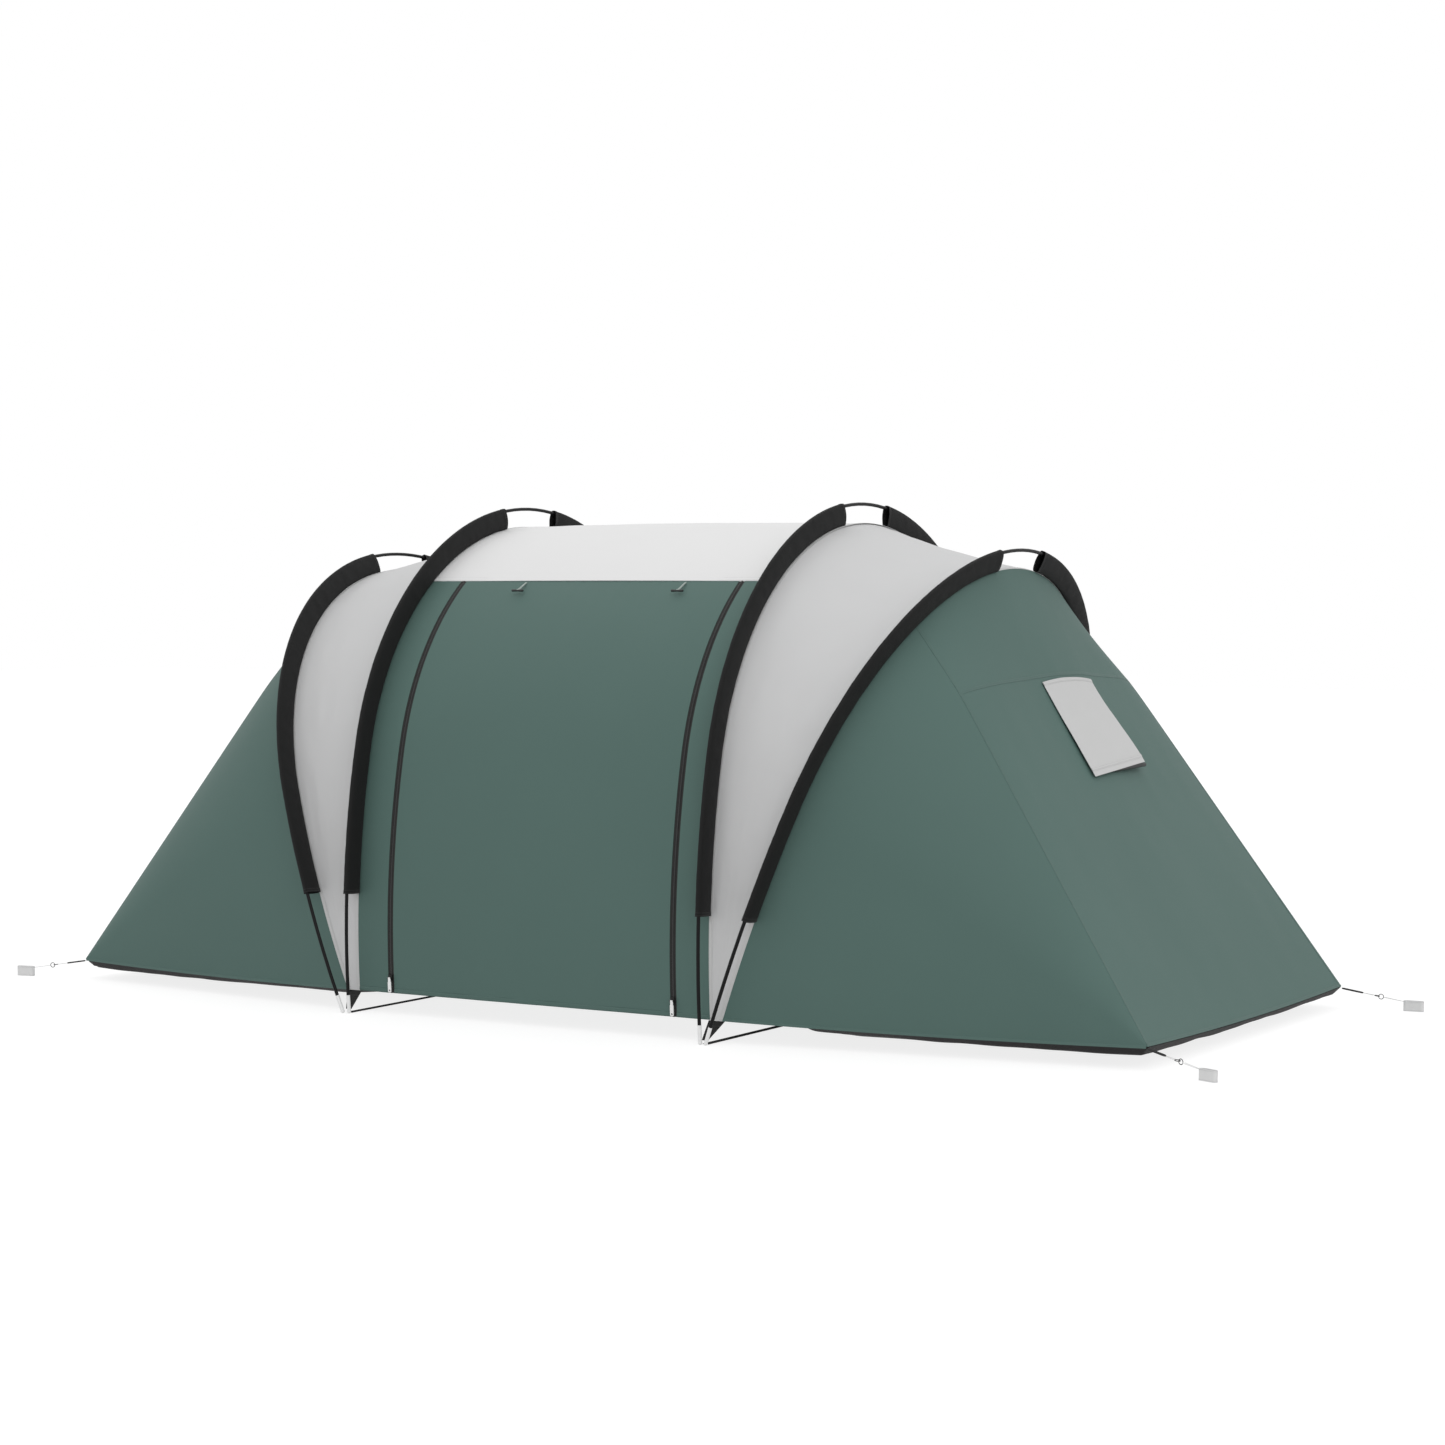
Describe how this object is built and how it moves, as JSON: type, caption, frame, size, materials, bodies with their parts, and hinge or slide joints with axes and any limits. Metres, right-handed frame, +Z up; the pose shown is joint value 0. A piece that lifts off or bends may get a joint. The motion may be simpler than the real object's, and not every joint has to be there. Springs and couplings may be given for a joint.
{
  "type": "family tunnel tent",
  "caption": "Pole tent with a middle living bay between two sloping bedroom ends, a zipped front door, vent flaps, groundsheets and corner tethers.",
  "frame": {"origin": "on the ground under the middle of the tent", "axes": "+X along the tent towards one bedroom, +Y to the back wall, +Z up; the door faces -Y"},
  "size_m": [4.5323, 2.0648, 1.6365],
  "materials": {
    "fly_green": "matte coated polyester",
    "fly_pale": "matte coated polyester",
    "gore_cloth": "matte coated polyester",
    "flap_cloth": "matte coated polyester",
    "dark_cloth": "woven",
    "groundsheet": "woven polyethylene",
    "mesh": "open mesh",
    "inner_cloth": "breathable lining",
    "webbing": "woven webbing",
    "zip_tape": "coil zip",
    "pole": "glass-fibre rod",
    "ferrule": "dark anodised",
    "tip": "moulded",
    "shock_cord": "braided elastic",
    "slider": "dark",
    "puller": "moulded",
    "toggle": "moulded, on cord",
    "cord": "braided",
    "ring": "wire ring",
    "elastic": "elastic cord",
    "band": "flat tape"
  },
  "bodies": {
    "tent": {"end_lower_left": "fly_green", "end_lower_right": "fly_green", "end_upper_left": "fly_green", "end_upper_right": "fly_green", "fly_roof": "fly_pale", "foot_webbing": "webbing", "gore_left": "gore_cloth", "gore_right": "gore_cloth", "ground_straps": "webbing", "groundsheet_left": "groundsheet", "groundsheet_right": "groundsheet", "inner_tent_left": "inner_cloth", "inner_tent_right": "inner_cloth", "pole_ferrules": "ferrule", "pole_inner_left": "pole", "pole_inner_right": "pole", "pole_outer_left": "pole", "pole_outer_right": "pole", "pole_tips": "tip", "shock_cords": "shock_cord", "side_back_left": "fly_green", "side_back_right": "fly_green", "side_front_left": "fly_green", "side_front_right": "fly_green", "sleeves_inner_left": "dark_cloth", "sleeves_inner_right": "dark_cloth", "sleeves_outer_left": "dark_cloth", "sleeves_outer_right": "dark_cloth", "tether_band_back_left": "band", "tether_band_back_right": "band", "tether_band_front_left": "band", "tether_band_front_right": "band", "tether_cord_back_left": "cord", "tether_cord_back_right": "cord", "tether_cord_front_left": "cord", "tether_cord_front_right": "cord", "tether_loops": "elastic", "tether_rings": "ring", "vent_mesh_left": "mesh", "vent_mesh_right": "mesh", "wall_back": "fly_green", "wall_front_left": "fly_green", "wall_front_right": "fly_green", "zip_left": "zip_tape", "zip_right": "zip_tape"},
    "zip_slider_left": {"zip_slider_left": "slider"},
    "zip_puller_left": {"zip_puller_left": "puller"},
    "toggle_left": {"toggle_left": "toggle"},
    "vent_flap_left": {"vent_flap_left": "flap_cloth"},
    "vent_prop_left": {"vent_prop_left": "toggle"},
    "inner_door_left": {"inner_door_left": "inner_cloth"},
    "zip_slider_right": {"zip_slider_right": "slider"},
    "zip_puller_right": {"zip_puller_right": "puller"},
    "toggle_right": {"toggle_right": "toggle"},
    "vent_flap_right": {"vent_flap_right": "flap_cloth"},
    "vent_prop_right": {"vent_prop_right": "toggle"},
    "inner_door_right": {"inner_door_right": "inner_cloth"},
    "door_front": {"door_front": "fly_green"}
  },
  "joints": [
    {"name": "door_front_hinge", "type": "hinge", "parent": "tent", "child": "door_front", "pos_m": [0, -0.55714, 1.38115], "axis": [-1, 0, 0], "range_deg": [0, 100]},
    {"name": "zip_slider_left_run", "type": "hinge", "parent": "tent", "child": "zip_slider_left", "pos_m": [-0.532, 1.715, 0.263], "axis": [-1, 0, 0], "range_deg": [0, 14]},
    {"name": "zip_puller_left_hinge", "type": "hinge", "parent": "zip_slider_left", "child": "zip_puller_left", "pos_m": [-0.532, -0.96956, 0.11743], "axis": [-1, 0, 0], "range_deg": [0, 120]},
    {"name": "zip_slider_right_run", "type": "hinge", "parent": "tent", "child": "zip_slider_right", "pos_m": [0.532, 1.715, 0.263], "axis": [-1, 0, 0], "range_deg": [0, 14]},
    {"name": "zip_puller_right_hinge", "type": "hinge", "parent": "zip_slider_right", "child": "zip_puller_right", "pos_m": [0.532, -0.96956, 0.11743], "axis": [-1, 0, 0], "range_deg": [0, 120]},
    {"name": "toggle_left_hinge", "type": "hinge", "parent": "door_front", "child": "toggle_left", "pos_m": [-0.276, -0.5677, 1.37754], "axis": [-1, 0, 0], "range_deg": [0, 60]},
    {"name": "toggle_right_hinge", "type": "hinge", "parent": "door_front", "child": "toggle_right", "pos_m": [0.332, -0.5677, 1.37754], "axis": [-1, 0, 0], "range_deg": [0, 60]},
    {"name": "vent_flap_left_hinge", "type": "hinge", "parent": "tent", "child": "vent_flap_left", "pos_m": [-1.38133, 0, 1.08084], "axis": [0, 1, 0], "range_deg": [0, 60]},
    {"name": "vent_prop_left_hinge", "type": "hinge", "parent": "tent", "child": "vent_prop_left", "pos_m": [-1.53746, 0, 0.82231], "axis": [0, -1, 0], "range_deg": [0, 80]},
    {"name": "inner_door_left_hinge", "type": "hinge", "parent": "tent", "child": "inner_door_left", "pos_m": [-0.7258, -0.348, 0.1238], "axis": [-0.3469, 0, 0.9379], "range_deg": [-100, 0]},
    {"name": "vent_flap_right_hinge", "type": "hinge", "parent": "tent", "child": "vent_flap_right", "pos_m": [1.38133, 0, 1.08084], "axis": [0, -1, 0], "range_deg": [0, 60]},
    {"name": "vent_prop_right_hinge", "type": "hinge", "parent": "tent", "child": "vent_prop_right", "pos_m": [1.53746, 0, 0.82231], "axis": [0, 1, 0], "range_deg": [0, 80]},
    {"name": "inner_door_right_hinge", "type": "hinge", "parent": "tent", "child": "inner_door_right", "pos_m": [0.7258, -0.348, 0.1238], "axis": [0.3469, 0, 0.9379], "range_deg": [0, 100]}
  ]
}
